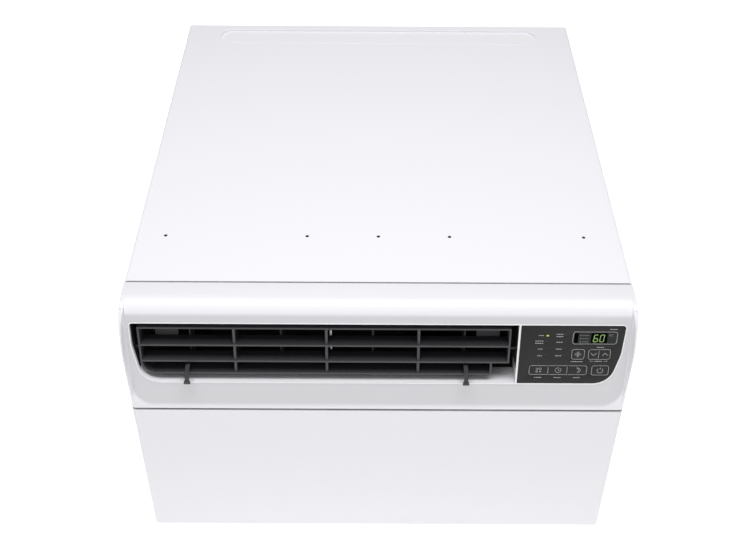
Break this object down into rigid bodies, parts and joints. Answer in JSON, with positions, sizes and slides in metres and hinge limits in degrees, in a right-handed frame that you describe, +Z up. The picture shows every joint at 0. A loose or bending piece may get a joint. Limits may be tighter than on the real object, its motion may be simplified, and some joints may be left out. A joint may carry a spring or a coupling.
{
  "type": "window air conditioner",
  "caption": "Window-mounted room air conditioner with a tilting outlet grid, steerable vanes, push-button panel, hinged intake front and a fan and compressor chassis in a sheet metal sleeve",
  "frame": {"origin": "Middle of the bounding box at its bottom, on the sill face of the sleeve.", "axes": "+Z up, -Y towards the room (the front with the outlet and controls), +Y towards the outdoors, +X to the right seen from the room."},
  "size_m": [0.6, 0.6851, 0.381],
  "materials": {
    "sheet_white": "satin white powder coat",
    "white_plastic": "satin moulded white",
    "dark_plastic": "charcoal moulded",
    "duct_plastic": "black moulded",
    "gloss_black": "high gloss black",
    "display_lens": "smoked clear",
    "display_glow": "dark display block with lit digits",
    "led_lens": "translucent light pipe",
    "circuit_board": "green solder mask",
    "filter_plastic": "blue-grey moulded frame and screen",
    "foam": "light grey foam",
    "coil_fins": "bare fin stock",
    "copper": "bare copper tube",
    "galvanised": "zinc coated sheet",
    "zinc": "zinc plated",
    "bare_steel": "ground steel",
    "bronze": "sintered bronze",
    "black_rubber": "soft black",
    "black_paint": "semi gloss black"
  },
  "bodies": {
    "cabinet": {"cabinet_sleeve": "sheet_white", "rear_guard": "sheet_white", "case_screws": "zinc", "base_pan": "galvanised", "front_bezel": "white_plastic", "front_frame": "white_plastic", "frame_yoke": "white_plastic", "cord_gland": "black_rubber", "air_duct": "duct_plastic", "control_fascia": "gloss_black", "display_window": "display_lens", "display_module": "display_glow", "indicator_lights": "led_lens", "control_board": "circuit_board", "control_box": "duct_plastic", "power_board": "circuit_board", "drip_tray": "foam", "evaporator_coil": "coil_fins", "evaporator_end_plates": "galvanised", "evaporator_bends": "copper", "scroll_front": "duct_plastic", "scroll_case": "duct_plastic", "air_plenum": "duct_plastic", "bulkhead": "galvanised", "motor_housing": "galvanised", "motor_bearings": "bronze", "motor_stator": "galvanised", "motor_bracket": "galvanised", "fan_shroud": "duct_plastic", "condenser_coil": "coil_fins", "condenser_end_plates": "galvanised", "condenser_bends": "copper", "compressor": "black_paint", "compressor_grommets": "black_rubber", "compressor_studs": "zinc", "accumulator": "black_paint", "suction_pipe": "copper", "discharge_pipe": "copper"},
    "intake_panel": {"intake_grille": "white_plastic", "air_filter": "filter_plastic"},
    "louver": {"louver_frame": "dark_plastic"},
    "fan_rotor": {"motor_shaft": "bare_steel", "motor_rotor": "galvanised", "blower_wheel": "duct_plastic", "condenser_fan": "duct_plastic"},
    "left_vane_lever_body": {"left_vane_lever": "dark_plastic"},
    "left_vane_middle_body": {"left_vane_middle": "dark_plastic"},
    "left_vane_inner_body": {"left_vane_inner": "dark_plastic"},
    "right_vane_inner_body": {"right_vane_inner": "dark_plastic"},
    "right_vane_middle_body": {"right_vane_middle": "dark_plastic"},
    "right_vane_lever_body": {"right_vane_lever": "dark_plastic"},
    "left_link": {"left_link_bar": "dark_plastic"},
    "right_link": {"right_link_bar": "dark_plastic"},
    "button_fan_speed_body": {"button_fan_speed": "gloss_black"},
    "button_temp_down_body": {"button_temp_down": "gloss_black"},
    "button_temp_up_body": {"button_temp_up": "gloss_black"},
    "button_mode_body": {"button_mode": "gloss_black"},
    "button_timer_body": {"button_timer": "gloss_black"},
    "button_sleep_body": {"button_sleep": "gloss_black"},
    "button_power_body": {"button_power": "gloss_black"}
  },
  "joints": [
    {"name": "intake_panel_open", "type": "hinge", "parent": "cabinet", "child": "intake_panel", "pos_m": [0, -0.3335, 0.013], "axis": [1, 0, 0], "range_deg": [0, 45]},
    {"name": "louver_tilt", "type": "hinge", "parent": "cabinet", "child": "louver", "pos_m": [0, -0.31062, 0.31227], "axis": [1, 0, 0], "range_deg": [-10, 10]},
    {"name": "left_vanes_turn", "type": "hinge", "parent": "cabinet", "child": "left_vane_lever_body", "pos_m": [-0.227, -0.27523, 0.30571], "axis": [0, 0.1822, 0.9833], "range_deg": [-20, 20]},
    {"name": "left_vane_middle_turn", "type": "hinge", "parent": "cabinet", "child": "left_vane_middle_body", "pos_m": [-0.1725, -0.27523, 0.30571], "axis": [0, 0.1822, 0.9833], "range_deg": [-21, 21]},
    {"name": "left_vane_inner_turn", "type": "hinge", "parent": "cabinet", "child": "left_vane_inner_body", "pos_m": [-0.1175, -0.27523, 0.30571], "axis": [0, 0.1822, 0.9833], "range_deg": [-21, 21]},
    {"name": "left_link_slide", "type": "slide", "parent": "cabinet", "child": "left_link", "axis": [1, 0, 0], "range_m": [-0.0045, 0.0045]},
    {"name": "right_vanes_turn", "type": "hinge", "parent": "cabinet", "child": "right_vane_lever_body", "pos_m": [0.105, -0.27523, 0.30571], "axis": [0, 0.1822, 0.9833], "range_deg": [-20, 20]},
    {"name": "right_vane_middle_turn", "type": "hinge", "parent": "cabinet", "child": "right_vane_middle_body", "pos_m": [0.0495, -0.27523, 0.30571], "axis": [0, 0.1822, 0.9833], "range_deg": [-21, 21]},
    {"name": "right_vane_inner_turn", "type": "hinge", "parent": "cabinet", "child": "right_vane_inner_body", "pos_m": [-0.006, -0.27523, 0.30571], "axis": [0, 0.1822, 0.9833], "range_deg": [-21, 21]},
    {"name": "right_link_slide", "type": "slide", "parent": "cabinet", "child": "right_link", "axis": [1, 0, 0], "range_m": [-0.0045, 0.0045]},
    {"name": "fan_spin", "type": "hinge", "parent": "cabinet", "child": "fan_rotor", "pos_m": [-0.09, -0.0215, 0.172], "axis": [0, 1, 0], "continuous": true},
    {"name": "press_fan_speed", "type": "slide", "parent": "cabinet", "child": "button_fan_speed_body", "axis": [0, 0.9833, -0.1822], "range_m": [0, 0.0008], "stiffness_N_per_m": 900, "springref_m": -0.0005},
    {"name": "press_temp_down", "type": "slide", "parent": "cabinet", "child": "button_temp_down_body", "axis": [0, 0.9833, -0.1822], "range_m": [0, 0.0008], "stiffness_N_per_m": 900, "springref_m": -0.0005},
    {"name": "press_temp_up", "type": "slide", "parent": "cabinet", "child": "button_temp_up_body", "axis": [0, 0.9833, -0.1822], "range_m": [0, 0.0008], "stiffness_N_per_m": 900, "springref_m": -0.0005},
    {"name": "press_mode", "type": "slide", "parent": "cabinet", "child": "button_mode_body", "axis": [0, 0.9833, -0.1822], "range_m": [0, 0.0008], "stiffness_N_per_m": 900, "springref_m": -0.0005},
    {"name": "press_timer", "type": "slide", "parent": "cabinet", "child": "button_timer_body", "axis": [0, 0.9833, -0.1822], "range_m": [0, 0.0008], "stiffness_N_per_m": 900, "springref_m": -0.0005},
    {"name": "press_sleep", "type": "slide", "parent": "cabinet", "child": "button_sleep_body", "axis": [0, 0.9833, -0.1822], "range_m": [0, 0.0008], "stiffness_N_per_m": 900, "springref_m": -0.0005},
    {"name": "press_power", "type": "slide", "parent": "cabinet", "child": "button_power_body", "axis": [0, 0.9833, -0.1822], "range_m": [0, 0.0008], "stiffness_N_per_m": 900, "springref_m": -0.0005}
  ],
  "couplings": [
    {"joint": "left_vane_middle_turn", "follows": "left_vanes_turn", "ratio": 1},
    {"joint": "left_vane_inner_turn", "follows": "left_vanes_turn", "ratio": 1},
    {"joint": "left_link_slide", "follows": "left_vanes_turn", "m_per_rad": -0.012},
    {"joint": "right_vane_middle_turn", "follows": "right_vanes_turn", "ratio": 1},
    {"joint": "right_vane_inner_turn", "follows": "right_vanes_turn", "ratio": 1},
    {"joint": "right_link_slide", "follows": "right_vanes_turn", "m_per_rad": -0.012}
  ]
}
